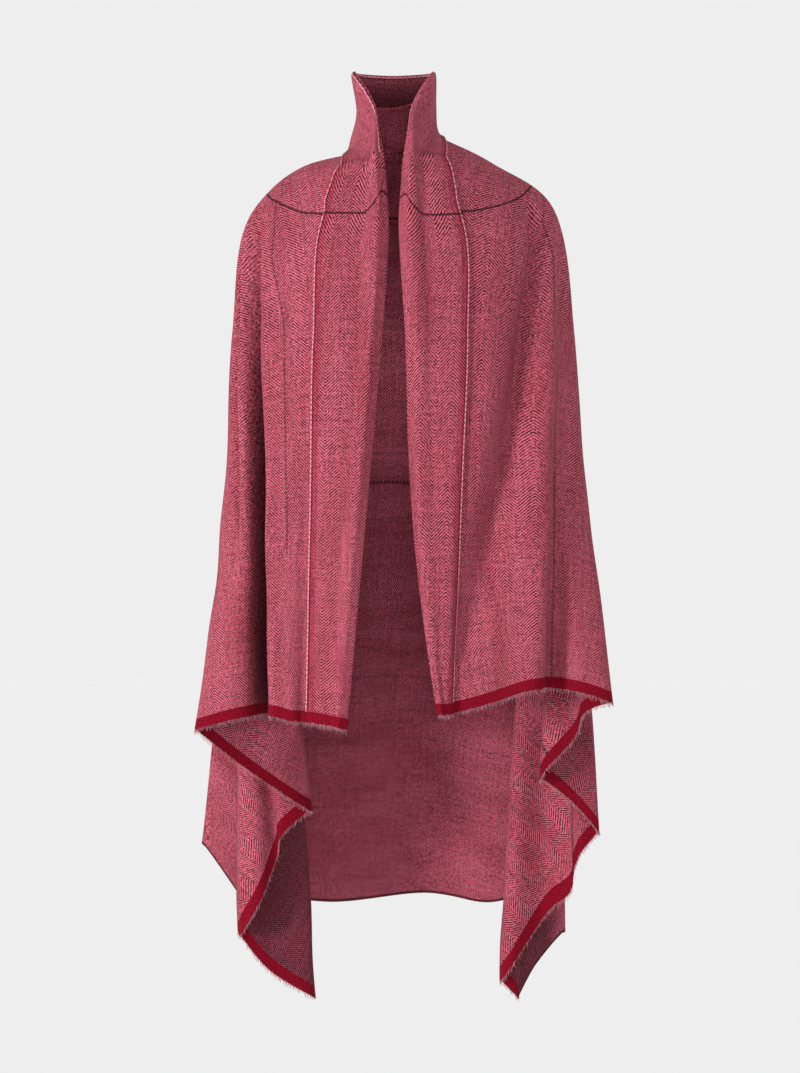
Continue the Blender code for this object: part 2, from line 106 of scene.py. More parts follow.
def guideKeys(guide, side, bend):
    angle = math.radians(guide.turn + bend * cloth["bendTurn"])
    base = [neck["across"] * side + neck["halfWidth"] * math.sin(angle),
            neck["depth"] - neck["halfDepth"] * math.cos(angle),
            -neck["lift"][side] * math.sin(angle) ** 2]
    tip = [guide.tipAcross, guide.tipDepth, guide.tipDown]
    slope = abs(math.cos(math.radians(guide.turn)))
    share = neck["ridgeShare"][side] + (neck["slopeShare"] - neck["ridgeShare"][side]) * slope
    middle = [(a + b) / 2 for a, b in zip(base, tip)]
    middle[2] = base[2] + (tip[2] - base[2]) * share
    chest = [guide.chestAcross, guide.chestDepth, cloth["chestDown"]]
    hem = [guide.hemAcross, guide.hemDepth, guide.hemDown]
    keys = [base, middle, tip, chest]
    for fall in cloth["falls"]:
        spread = fall ** guide.flare
        key = [a + (b - a) * spread for a, b in zip(chest, hem)]
        key[2] = chest[2] + (hem[2] - chest[2]) * fall
        keys.append(key)
    keys.append(hem)
    return [placed(key[0], key[1] + bend * share, key[2], side)
            for key, share in zip(keys, cloth["opened"])]


def sideGuides(rows, side):
    found = []
    for guide in rows:
        doubled = guide.name.startswith(("fold", "corner"))
        found += [(guide, side, bend)
                  for bend in ((-cloth["foldBend"], cloth["foldBend"]) if doubled else (0,))]
    return found


guides = (sideGuides(leftGuides, -1) + [(centreGuide, 1, 0)] + sideGuides(rightGuides, 1)[::-1])
guideCurves = np.array([guideKeys(*entry) for entry in guides])
guideTurns = np.array([guide.turn if side < 0 or guide.turn == 180 else 360 - guide.turn
                       for guide, side, bend in guides])
lastGuide = len(guides) - 1
openingPlace = {-1: 0, 1: lastGuide}


def guidePlace(name, side):
    found = [i for i, entry in enumerate(guides) if entry[0].name == name and entry[1] == side]
    return found[0] if side < 0 else found[-1]


seamPlace = {-1: guidePlace("fold five", -1) + 1.5, 1: guidePlace("fold five", 1) - 1.5}
cornerPlace = {-1: guidePlace("corner", -1), 1: guidePlace("corner", 1)}


def lengthOf(vectors):
    return np.maximum(np.linalg.norm(vectors, axis=-1, keepdims=True), 1e-7)


def hermite(before, start, end, after, t):
    first, span, last = (np.sqrt(lengthOf(b - a)) for a, b in
                         ((before, start), (start, end), (end, after)))
    leave = (start - before) / first - (end - before) / (first + span) + (end - start) / span
    arrive = (end - start) / span - (after - start) / (span + last) + (after - end) / last
    t = t[..., None]
    return (start * (2 * t ** 3 - 3 * t ** 2 + 1) + leave * span * (t ** 3 - 2 * t ** 2 + t)
            + end * (3 * t ** 2 - 2 * t ** 3) + arrive * span * (t ** 3 - t ** 2))


# Place on a spline whose key points pick(i) gives
def splineAt(pick, count, u):
    i = np.clip(np.floor(u).astype(int), 0, count - 2)
    start, end = pick(i), pick(i + 1)
    before = np.where((i > 0)[..., None], pick(np.maximum(i - 1, 0)), 2 * start - end)
    after = np.where((i < count - 2)[..., None], pick(np.minimum(i + 2, count - 1)), 2 * end - start)
    return hermite(before, start, end, after, u - i)


def smoothCloth(place, row):
    keyCount = guideCurves.shape[1]
    return splineAt(lambda i: splineAt(lambda j: guideCurves[i, j], keyCount, row), lastGuide + 1, place)


# Soft folds, given one by one. Places count guides from the opening; depth is millimetres outward.
Crease = namedtuple("Crease", "name side fromPlace fromRow toPlace toRow width depth")
creases = [
    Crease("shoulder crease", -1, 6.55, 1.7, 6.2, 4.8, 0.20, -20),
    Crease("shoulder ridge", -1, 6.0, 1.8, 5.8, 4.6, 0.30, 11),
    Crease("deep valley", -1, 5.2, 1.85, 5.05, 11, 0.28, -36),
    Crease("lip ridge", -1, 4.3, 2.3, 4.2, 9, 0.40, 7),
    Crease("inner trough", -1, 2.8, 2.4, 2.7, 5.6, 0.5, -6),
    Crease("strip edge trough", -1, 2.25, 1.7, 2.25, 9, 0.22, -4),
    Crease("shoulder hollow", -1, 3.6, 0.7, 3.0, 3.0, 0.8, -6),
    Crease("diagonal valley", 1, 5.0, 1.6, 2.3, 5.6, 0.55, -34),
    Crease("diagonal ridge", 1, 5.0, 2.2, 3.9, 7.5, 0.42, 15),
    Crease("side ridge", 1, 6.6, 2.2, 6.2, 4.4, 0.4, 5),
    Crease("navy trough", 1, 5.2, 3.2, 5.0, 9, 0.35, -8),
    Crease("strip edge trough", 1, 2.2, 1.7, 2.2, 9, 0.25, -5),
    Crease("back centre", -1, 22.0, 3.4, 22.2, 9, 0.35, -8),
    Crease("back left ridge", -1, 21.2, 1.6, 21.0, 5.2, 0.4, 6),
    Crease("back left trough", -1, 20.4, 1.8, 20.5, 6.2, 0.35, -8),
    Crease("back right ridge", 1, 21.4, 2.2, 21.1, 6.2, 0.35, 6),
    Crease("back right trough", 1, 20.6, 1.7, 20.3, 5.0, 0.4, -8),
]

# Soft shifts of the folds, most of them at the hems: millimetres outward, back and down
Wave = namedtuple("Wave", "name side place width fromRow toRow across back down")
waves = [
    Wave("lip overlap", -1, 4.1, 0.50, 3.2, 8.6, 2, -6, 0),
    Wave("valley floor", -1, 5.1, 0.32, 2.4, 9.6, -9, 36, 0),
    Wave("second layer belly", -1, 8.5, 0.40, 4.6, 7.4, -4, -6, 6),
    Wave("third layer upper turn", -1, 10.5, 0.34, 4.2, 7.8, 18, -12, 8),
    Wave("third layer hollow", -1, 11.05, 0.40, 4.2, 7.8, -4, 12, 0),
    Wave("third layer lower turn", -1, 11.55, 0.32, 4.2, 7.8, -10, -6, -6),
    Wave("fourth layer turn", -1, 13.3, 0.45, 4.6, 7.4, 6, 6, -6),
    Wave("selvage round", -1, 18.5, 0.8, 4.8, 7.2, 4, 0, -3),
    Wave("second layer shelf", 1, 8.55, 0.35, 4.6, 7.4, 0, -4, -3),
    Wave("second layer turn", 1, 9.25, 0.32, 4.4, 7.6, 18, 10, 2),
    Wave("second layer point", 1, 9.75, 0.28, 4.4, 7.6, -5, -8, 4),
    Wave("third layer turn", 1, 11.5, 0.40, 4.6, 7.4, 4, 5, -5),
    Wave("fourth layer upper", 1, 13.5, 0.28, 4.2, 7.8, -8, -6, 4),
    Wave("fourth layer lobe", 1, 14.45, 0.36, 4.0, 8.0, 16, -12, 2),
    Wave("fourth layer hollow", 1, 15.1, 0.36, 4.2, 7.8, 9, 10, -3),
    Wave("fourth layer lower", 1, 15.7, 0.34, 4.4, 7.6, 4, -8, -2),
    Wave("selvage round", 1, 20.5, 0.8, 4.8, 7.2, -2, 0, -2),
]


def nearFold(fold, middle, place, row, power):
    along = np.clip((row - fold.fromRow) / (fold.toRow - fold.fromRow), 0, 1)
    middle = middle(along) if fold.side < 0 else lastGuide - middle(along)
    return np.sin(np.pi * along) ** power * np.exp(-((place - middle) / fold.width) ** 2)


def creaseRise(place, row):
    total = np.zeros_like(place)
    for fold in creases:
        course = lambda along: fold.fromPlace + (fold.toPlace - fold.fromPlace) * along
        total += fold.depth * mm * nearFold(fold, course, place, row, 0.6)
    return total


def waveShift(place, row):
    total = np.zeros(place.shape + (3,))
    for fold in waves:
        share = nearFold(fold, lambda along: fold.place, place, row, 1.3)
        total += share[..., None] * np.array([fold.side * fold.across, fold.back, -fold.down]) * mm
    return total


# Slow uneven waves, longer down the cloth than across it
def drapeWaves(points):
    x, y, z = points[..., 0], points[..., 1], points[..., 2]
    slow = np.sin(31 * x + 9 * z + 2 * np.sin(11 * z)) * np.sin(9 * z + 19 * y + 1.7)
    quick = np.sin(52 * y - 43 * x + 9 * z + 1.5 * np.sin(7 * z + 9 * x)) * np.sin(13 * z + 5)
    return (1.6 * slow + 0.9 * quick) * mm


# Unit vectors along the places, down the rows and out of a surface
def frameOf(surface, place, row):
    step = 0.01
    along = surface(np.minimum(place + step, lastGuide), row) - surface(np.maximum(place - step, 0), row)
    down = (surface(place, np.minimum(row + step, cloth["lastRow"]))
            - surface(place, np.maximum(row - step, 0)))
    along, down = along / lengthOf(along), down / lengthOf(down)
    out = np.cross(along, down)
    return along, down, out / lengthOf(out)


def drapedCloth(place, row):
    points = smoothCloth(place, row)
    out = frameOf(smoothCloth, place, row)[2]
    rise = creaseRise(place, row) + drapeWaves(points) * np.clip(row - 0.6, 0, 1)
    return points + out * rise[..., None] + waveShift(place, row)


slide = {"shifts": (-0.6, -0.3, 0, 0.3, 0.6), "steepest": 0.35, "step": 0.1}


# The row at this distance above the hem, square to it and smoothed along it
def rowAbove(place, distance):
    total = 0
    last = np.full_like(place, cloth["lastRow"])
    for shift in slide["shifts"]:
        along, down, out = frameOf(smoothCloth, np.clip(place + shift, 0, lastGuide), last)
        total = total + 1 / np.maximum(lengthOf(np.cross(along, down))[..., 0], slide["steepest"])
    length = lengthOf(smoothCloth(place, last) - smoothCloth(place, last - slide["step"]))[..., 0]
    return last - distance * total / len(slide["shifts"]) / length * slide["step"]


# Flat cloth coordinates, so that the weave keeps its size and runs on from piece to piece
cut = {"halfLength": 1.0, "stripWidth": 0.095, "width": 1.2, "neckHalf": 0.19, "neckBack": 0.22,
       "neckRise": 0.11, "perGuide": 2, "rows": 13, "rounds": 60, "pull": 20, "hold": 1e-3,
       "weights": (0.05, 5)}


# Lay a coarse grid of the cloth flat with each triangle kept as near its own shape as can be
def flattenCloth():
    places = np.linspace(0, lastGuide, lastGuide * cut["perGuide"] + 1)
    rows = np.linspace(0, cloth["lastRow"], cut["rows"])
    place, row = np.meshgrid(places, rows, indexing="ij")
    points = smoothCloth(place, row)
    fall = np.cumsum(lengthOf(np.diff(points, axis=1, prepend=points[:, :1]))[..., 0], axis=1)
    fall /= fall[:, -1:]
    turn = np.interp(places, np.arange(lastGuide + 1), guideTurns)
    swing = (turn - 180) / (180 - guideTurns[0])
    inner = np.stack([swing * cut["neckHalf"], cut["neckBack"] - cut["neckRise"] * np.abs(swing)], -1)
    hem = np.cumsum(lengthOf(np.diff(points[:, -1], axis=0, prepend=points[:1, -1]))[..., 0])
    bends = [0, cornerPlace[-1], cornerPlace[1], lastGuide]
    at = np.interp(bends, places, hem)
    outline = np.array([(-1, cut["stripWidth"]), (-1, cut["width"]), (1, cut["width"]),
                        (1, cut["stripWidth"])]) * [cut["halfLength"], 1]
    outer = np.stack([np.interp(hem, at, outline[:, k]) for k in (0, 1)], axis=-1)
    flat = inner[:, None] + (outer - inner)[:, None] * fall[..., None]
    count = place.size
    index = np.arange(count).reshape(place.shape)
    a, b, c, d = index[:-1, :-1], index[1:, :-1], index[1:, 1:], index[:-1, 1:]
    corners = np.concatenate([np.stack([a, b, c], -1).reshape(-1, 3),
                              np.stack([a, c, d], -1).reshape(-1, 3)])
    solid = points.reshape(-1, 3)[corners]
    first = solid[:, 1] - solid[:, 0]
    second = solid[:, 2] - solid[:, 0]
    base = lengthOf(first)[:, 0]
    lean = (first * second).sum(-1) / base
    height = np.sqrt(np.maximum((second ** 2).sum(-1) - lean ** 2, 1e-12))
    own = np.zeros((len(corners), 3, 2))
    own[:, 1, 0], own[:, 2, 0], own[:, 2, 1] = base, lean, height
    pairs = ((0, 1, 2), (1, 2, 0), (2, 0, 1))
    system = np.zeros((count, count))
    weights = []
    for i, j, k in pairs:
        one, two = own[:, i] - own[:, k], own[:, j] - own[:, k]
        area = np.abs(one[:, 0] * two[:, 1] - one[:, 1] * two[:, 0])
        weight = np.clip((one * two).sum(-1) / area, *cut["weights"])
        weights.append(weight)
        for p, q in ((i, j), (j, i)):
            np.add.at(system, (corners[:, p], corners[:, p]), weight)
            np.add.at(system, (corners[:, p], corners[:, q]), -weight)
    openings = np.concatenate([index[0], index[-1]])
    cornerAt = [cornerPlace[side] * cut["perGuide"] for side in (-1, 1)]
    hems = np.concatenate([index[:cornerAt[0] + 1, -1], index[cornerAt[1]:, -1]])
    holds = []
    for axis, held, wanted in ((0, hems, np.sign(flat.reshape(-1, 2)[hems, 0]) * cut["halfLength"]),
                               (1, openings, cut["stripWidth"])):
        matrix = system.copy()
        matrix[held, held] += cut["pull"]
        matrix[index[lastGuide, 0], index[lastGuide, 0]] += cut["hold"]
        holds.append((axis, np.linalg.inv(matrix), held, wanted))
    flat = flat.reshape(-1, 2)
    for turnCount in range(cut["rounds"]):
        now = flat[corners]
        dot, cross = 0, 0
        for weight, (i, j, k) in zip(weights, pairs):
            e, f = own[:, i] - own[:, j], now[:, i] - now[:, j]
            dot = dot + weight * (e * f).sum(-1)
            cross = cross + weight * (e[:, 0] * f[:, 1] - e[:, 1] * f[:, 0])
        angle = np.arctan2(cross, dot)
        spin = np.stack([np.stack([np.cos(angle), -np.sin(angle)], -1),
                         np.stack([np.sin(angle), np.cos(angle)], -1)], -2)
        side = np.zeros((count, 2))
        for weight, (i, j, k) in zip(weights, pairs):
            edge = np.einsum("nab,nb->na", spin, own[:, i] - own[:, j]) * weight[:, None]
            np.add.at(side, corners[:, i], edge)
            np.add.at(side, corners[:, j], -edge)
        for axis, inverse, held, wanted in holds:
            wish = side[:, axis].copy()
            wish[held] += cut["pull"] * wanted
            flat[:, axis] = inverse @ wish
    return flat.reshape(place.shape + (2,))


flatGrid = flattenCloth()
print("cloth laid flat: opening", flatGrid[0, 0].round(3),
      "left corner", flatGrid[cornerPlace[-1] * cut["perGuide"], -1].round(3))


# Flat coordinates of the cloth: x along its length from the middle, y from the upper selvage
def flatCloth(place, row):
    last = cut["rows"] - 1
    p = np.clip(place * float(cut["perGuide"]), 0, flatGrid.shape[0] - 1)
    r = np.clip(row * (last / cloth["lastRow"]), 0, last)
    return splineAt(lambda i: splineAt(lambda j: flatGrid[i, j], last + 1, r), flatGrid.shape[0], p)


# What the wool's finish reads, with the value where nothing is near: distances in metres from the dark
# weft, the lower selvage, the navy yarn and the collar's fold, the share of painted shade in a fold, and
# strain
markNames = {"belowWeft": 1, "aboveSelvage": 1, "fromNavy": 1, "fromFold": 1, "paintedFoldShade": 0, "strain": 0}
sharpAngle = math.radians(60)       # the cut edge of the cloth stays crisp


# A shell of cloth on grids of points, each grid with its ways out, flat coordinates and marks
def sheetMesh(name, patches, finish):
    bm = bmesh.new()
    lift = bm.verts.layers.float_vector.new("lift")
    flatAt = bm.verts.layers.float_vector.new("flatAt")
    layers = [(key, bm.verts.layers.float.new(key)) for key in markNames]
    for points, out, flatPoints, marks in patches:
        across, down = points.shape[:2]
        made = bmesh.ops.create_grid(bm, x_segments=across - 1, y_segments=down - 1, size=0.5)["verts"]
        for vert in made:
            i = round((vert.co.x + 0.5) * (across - 1))
            j = round((vert.co.y + 0.5) * (down - 1))
            vert[lift] = out[i, j] * wall
            vert.co = points[i, j] - out[i, j] * (wall / 2)
            vert[flatAt] = (*flatPoints[i, j], 0)
            for key, layer in layers:
                vert[layer] = marks[key][i, j] if key in marks else markNames[key]
    if len(patches) > 1:
        bmesh.ops.remove_doubles(bm, verts=bm.verts, dist=0.01 * mm)
    raised = bmesh.ops.extrude_face_region(bm, geom=bm.faces[:])["geom"]
    for vert in (item for item in raised if isinstance(item, bmesh.types.BMVert)):
        vert.co += vert[lift]
    bmesh.ops.recalc_face_normals(bm, faces=bm.faces)
    for edge in bm.edges:
        edge.smooth = edge.calc_face_angle(0) < sharpAngle
    uv = bm.loops.layers.uv.new("cloth")
    for face in bm.faces:
        face.smooth = True
        for loop in face.loops:
            loop[uv].uv = loop.vert[flatAt][:2]
    mesh = bpy.data.meshes.new(name)
    bm.to_mesh(mesh)
    bm.free()
    return addPiece(name, mesh, finish)


def newObject(name, data):
    made = bpy.data.objects.new(name, data)
    bpy.context.collection.objects.link(made)
    return made


def addPiece(name, mesh, finish):
    mesh.materials.append(finish)
    piece = newObject(name + "_cloth", mesh)
    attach(piece, "root")
    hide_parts(name)
    area = sum(face.area for face in mesh.polygons) / 2
    print(piece.name, len(mesh.polygons), "faces,", round(area, 3), "square metres of cloth")
    return piece


# Arrays of place and row from places and, for each, its own list of rows
def gridOf(places, rowLists):
    row = np.array(rowLists)
    return np.repeat(np.array(places)[:, None], row.shape[1], axis=1), row


# The course of the navy warp yarn down each front: rows, and guides from the opening
navyPath = {-1: ([1.6, 1.8, 2.0, 2.35, 2.6, 3.0, 4.0, 4.7], [5.5, 4.6, 3.95, 3.8, 3.5, 3.2, 3.2, 3.15]),
            1: ([1.25, 1.6, 1.85, 2.05, 2.4, 3.0, 3.35, 4.0, 6.1],
                [9.5, 9.0, 6.5, 5.4, 5.4, 5.05, 5.2, 5.28, 5.0])}


shadeEdge = {"soft": 0.4, "fromRow": 2.4, "rows": 1.6}
# Painted shade deep in the folds: side, first and last guide from the opening, and amount
foldShades = [(-1, 4.7, 5.5, 0.85), (-1, 12.8, 15.3, 0.75), (1, 11.1, 12.0, 0.35), (1, 17.1, 20.6, 0.75)]
strainFree = 0.8                    # strain below this doesn't hide the weave


# How much painted shade lies on the cloth here, faded in down the rows
def foldShade(place, row):
    total = np.zeros(place.shape)
    for side, first, last, amount in foldShades:
        count = place if side < 0 else lastGuide - place
        near, far = (np.clip(gap / shadeEdge["soft"] + 0.5, 0, 1)
                     for gap in (count - first, last - count))
        total += amount * near * far * np.clip((row - shadeEdge["fromRow"]) / shadeEdge["rows"], 0, 1)
    return total


# Points, ways out, flat coordinates and marks over a grid of the draped cloth
def patchOf(places, rowLists):
    place, row = gridOf(places, rowLists)
    points = drapedCloth(place, row)
    out = frameOf(drapedCloth, place, row)[2]
    run = np.cumsum(lengthOf(np.diff(points, axis=1, prepend=points[:, :1]))[..., 0], axis=1)
    weftAt = np.array([np.interp(cloth["weftRow"], rows, along) for rows, along in zip(row, run)])
    above = np.where(inBand(place), 1, run[:, -1:] - run + (cloth["lastRow"] - row[:, -1:]))
    navy = np.ones(place.shape)
    for side, (rows, places) in navyPath.items():
        path = np.interp(row, rows, places, left=99, right=99)     # 99 is away from the cloth
        gap = (place - path) if side < 0 else (lastGuide - place - path)
        step = 0.1
        width = lengthOf(smoothCloth(place + step, row) - smoothCloth(place - step, row))[..., 0]
        navy = np.where(np.abs(gap) < 2, gap * width / (2 * step), navy)
    flat = flatCloth(place, row)
    strain = 0
    for axis in (0, 1):
        real = lengthOf(np.gradient(points, axis=axis))[..., 0]
        ratio = lengthOf(np.gradient(flat, axis=axis))[..., 0] / real
        strain = np.maximum(strain, np.clip(2 * np.abs(np.log(ratio)) - strainFree, 0, 1))
    return (points, out, flat, {"belowWeft": run - weftAt[:, None], "aboveSelvage": above,
                                "fromNavy": navy, "strain": strain,
                                "paintedFoldShade": foldShade(place, row)})


fine = {"cell": 5.5 * mm, "frontRows": 150, "bandRows": 5, "standSteps": 36, "crestSteps": 4,
        "shareSteps": 4, "rimSteps": 8, "yokeRows": 40, "samples": 9, "sampleRows": (2.0, 3.5, 5.0, 6.0)}


# Places no further apart than one cell of the fine grid, on one list for all pieces
def placesBetween(start, end):
    breaks = sorted({start, end, *range(math.ceil(start), math.floor(end) + 1)})
    found = [start]
    for a, b in zip(breaks, breaks[1:]):
        widest = 0
        for row in fine["sampleRows"]:
            line = smoothCloth(np.linspace(a, b, fine["samples"]), np.full(fine["samples"], row))
            widest = max(widest, lengthOf(np.diff(line, axis=0)).sum())
        steps = max(2, math.ceil(widest / fine["cell"]))
        found += [a + (b - a) * k / steps for k in range(1, steps + 1)]
    return found


leftPlaces = placesBetween(0, seamPlace[-1])
middlePlaces = placesBetween(seamPlace[-1], seamPlace[1])
rightPlaces = placesBetween(seamPlace[1], lastGuide)
frontPlaces = {-1: leftPlaces, 1: rightPlaces}
yokeRows = list(np.linspace(0, cloth["weftRow"], fine["yokeRows"]))


def inBand(place):
    return (place <= cornerPlace[-1]) | (place >= cornerPlace[1])


# For each place of a front its rows, down to the end band or to the lower selvage
def frontRows(side):
    places = np.array(frontPlaces[side])
    last = np.where(inBand(places), rowAbove(places, cloth["bandDepth"]), cloth["lastRow"])
    return np.linspace(cloth["weftRow"], last, fine["frontRows"]).T


# The turned-back strip and its fold. The dark weft rises and falls by its course across them.
strip = {"reach": 3.0 * mm, "crestLift": 2.2 * mm, "lift": 4.6 * mm, "thin": 1.1 * mm, "roll": 10 * mm,
         "valley": 3.5 * mm, "guides": 2, "slant": 0.5,
         "shares": [0.05, 0.14, 0.24, 0.36, 0.55, 0.78, 1.0],
         "rows": 175, "weftColumn": 40, "weftRaise": 25 * mm, "weftDrop": {-1: 0, 1: 5 * mm},
         "weftCourse": [(0, 0.8), (6 * mm, 0.95), (11 * mm, 1), (15 * mm, 0.88), (19 * mm, 0.5),
                        (23 * mm, 0.18), (30 * mm, 0)],
         "widerRows": [0, 0.3, 0.8, 1.3, 1.6, 2.1, 2.6, 3.0],
         "wider": {-1: [1.10, 0.95, 0.60, 0.40, 0.22, 0.15, 0.05, 0],
                   1: [1.05, 0.85, 0.50, 0.20, 0.12, 0.08, 0.03, 0]}}


# Height of the strip over the front at this share of its width: a roll beside the fold, then a valley
def stripRise(share, row):
    roll = strip["roll"] * math.exp(-((share - 0.17) / 0.12) ** 2)
    valley = strip["valley"] * math.exp(-((share - 0.40) / 0.10) ** 2)
    low = np.clip((row - 3.5) / 2.5, 0, 1)
    high = np.clip((3.2 - row) / 1.2, 0, 1)
    return strip["lift"] - strip["thin"] * share + roll * (1 - 0.5 * low) - valley * high


# Key lines of the fold and the strip, each an array of points down the opening
def stripKeys(side, rows):
    place = np.full(rows.shape, float(openingPlace[side]))
    along, down, out = frameOf(drapedCloth, place, rows)
    edge = drapedCloth(place, rows)
    lines = [edge]
    for reach, lift in ((strip["reach"], strip["crestLift"]), (0.8 * mm, strip["lift"])):
        lines.append(edge + along * side * reach + out * lift)
    for share in strip["shares"]:
        reach = strip["guides"] + np.interp(rows, strip["widerRows"], strip["wider"][side])
        place = openingPlace[side] - side * reach * share
        row = rows + strip["slant"] * share * np.maximum(1 - rows / cloth["weftRow"], 0)
        along, down, out = frameOf(drapedCloth, place, row)
        lines.append(drapedCloth(place, row) + out * stripRise(share, rows)[:, None])
    return lines


# Even steps between key lines, closer round the fold
def fineSteps(count):
    found = [0.0]
    for k in range(count - 1):
        steps = (fine["standSteps"], fine["crestSteps"])[k] if k < 2 else fine["shareSteps"]
        found += [k + s / steps for s in range(1, steps + 1)]
    return np.array(found)


# Points on smooth curves through the key lines, as an array [step, row, 3]
def overKeys(lines, steps):
    keys = np.array(lines)
    at = np.repeat(steps[:, None], keys.shape[1], axis=1)
    row = np.arange(keys.shape[1])[None, :]
    return splineAt(lambda i: keys[i, np.broadcast_to(row, i.shape)], len(lines), at)


def waysOut(points, sign):
    along = np.gradient(points, axis=0)
    down = np.gradient(points, axis=1)
    out = np.cross(along, down) * sign
    return out / lengthOf(out)


# Flat coordinates over the fold and the strip, measured square to the free upper selvage
def stripFlat(points, edge):
    run = np.cumsum(lengthOf(np.diff(points, axis=0, prepend=points[:1]))[..., 0], axis=0)
    flat = np.repeat(edge[None], len(points), axis=0)
    flat[..., 1] = run[-1] - run
    return flat


nearby = 0.03                       # the rows beside an end of the strip, for its way out


# Points, ways out and flat coordinates over the fold and the strip
def stripGrid(side, rows):
    rows = np.asarray(rows, float)
    lines = stripKeys(side, rows)
    points = overKeys(lines, fineSteps(len(lines)))
    out = waysOut(points, side)
    place = np.full(rows.shape, float(openingPlace[side]))
    out[0] = frameOf(drapedCloth, place, rows)[2]
    return points, out, stripFlat(points, flatCloth(place, rows))


def makeLapel(name, side, finish):
    bandRow = float(rowAbove(np.array([float(openingPlace[side])]), cloth["bandDepth"])[0])
    rows = np.linspace(0, bandRow, strip["rows"])
    points, out, flat = stripGrid(side, rows)
    run = np.cumsum(lengthOf(np.diff(points, axis=1, prepend=points[:, :1]))[..., 0], axis=1)
    weftAt = [np.interp(cloth["weftRow"], rows, along) for along in run]
    crest = fine["standSteps"]
    column = points[:, strip["weftColumn"]]
    wide = np.linalg.norm(column - column[crest], axis=-1)
    wide[:crest] = 0
    raised = np.interp(wide, *zip(*strip["weftCourse"])) * strip["weftRaise"] - strip["weftDrop"][side]
    patch = (points, out, flat, {"belowWeft": run - (np.array(weftAt) - raised)[:, None]})
    return sheetMesh(name, [patch], finish)


def makeFront(name, side, finish):
    return sheetMesh(name, [patchOf(frontPlaces[side], frontRows(side))], finish)


def makeBack(finish):
    places = leftPlaces[:-1] + middlePlaces + rightPlaces[1:]
    yoke = patchOf(places, [yokeRows] * len(places))
    rows = np.linspace(cloth["weftRow"], cloth["lastRow"], fine["frontRows"])
    lower = patchOf(middlePlaces, [rows] * len(middlePlaces))
    return sheetMesh("back", [yoke, lower], finish)


# The woven end band, along the front's hem, round the opening fold and under the strip
def makeEndBand(name, side, finish):
    places = np.array(frontPlaces[side])
    places = places[inBand(places)]
    top = rowAbove(places, cloth["bandDepth"])
    front = patchOf(places, np.linspace(top, cloth["lastRow"], fine["bandRows"]).T)
    distances = np.linspace(cloth["bandDepth"], 0, fine["bandRows"])
    rows = rowAbove(np.full(distances.shape, float(openingPlace[side])), distances)
    rows[-1] = cloth["lastRow"]
    points, out, flat = stripGrid(side, rows)
    return sheetMesh(name, [front, (points, out, flat, {})], finish)


CollarRow = namedtuple("CollarRow", "name turn edgeAcross edgeDepth edgeDown freeTurn freeRow freeLift")
# The folded edge runs up from the opening to the front corner and round behind the neck
collarRows = [
    CollarRow("notch", 17, 18, -77, -8, 58, 0.50, 3.5),
    CollarRow("rise", 26, 22, -78, -40, 65, 0.38, 4),
    CollarRow("break", 34, 26, -74, -65, 72, 0.28, 4),
    CollarRow("lead", 44, 37, -64, -89, 79, 0.20, 4),
    CollarRow("corner", 55, 53.5, -46, -112, 87, 0.14, 4),
    CollarRow("side", 92, 55, 2, -113, 112, 0.12, 5),
    CollarRow("back side", 135, 41, 42, -111, 140, 0.11, 6),
]
collarCentre = CollarRow("centre", 180, 0, 60, -109, 180, 0.10, 7)
collar = {"waist": {-1: 7, 1: -1}, "foldRadius": 2.2 * mm, "seat": 0.5 * mm, "seatOut": 1.5 * mm,
          "shade": [(3.1, 0), (3.5, 1), (6.4, 1), (7.4, 0.8), (8.4, 0.4), (9, 0)],
          "slumpTurns": (100, 30), "hangHeights": (8 * mm, 70 * mm),
          "dotsAt": {"turns": [17, 55, 92, 135, 225, 268, 305, 343],
                     "millimetres": [2, 2.2, -4, -6.5, -6.5, -6.5, -5, -5]}}
# A soft fold inside the back of the collar: share of the height, and millimetres towards the neck
innerFold = [(0, 1), (0.28, 5), (0.45, 14), (0.55, 21), (0.56, 18), (0.49, 10), (0.53, 6), (0.72, 6),
             (0.90, 4.5), (1, 3)]


def placeOfTurn(turn, side):
    return float(np.interp(turn if side < 0 else 360 - turn, guideTurns, np.arange(lastGuide + 1)))


def oneOf(surface, place, row):
    return surface(np.array([place]), np.array([float(row)]))[0]


def splineThrough(keys, steps):
    keys = np.array(keys)
    return splineAt(lambda i: keys[i], len(keys), steps)


def eased(share):
    share = np.clip(share, 0, 1)
    return share * share * (3 - 2 * share)


# How much the stand slumps into its inner fold, nothing in front and all of it behind
def slumpAt(turn):
    start, width = collar["slumpTurns"]
    return eased((turn - start) / width)


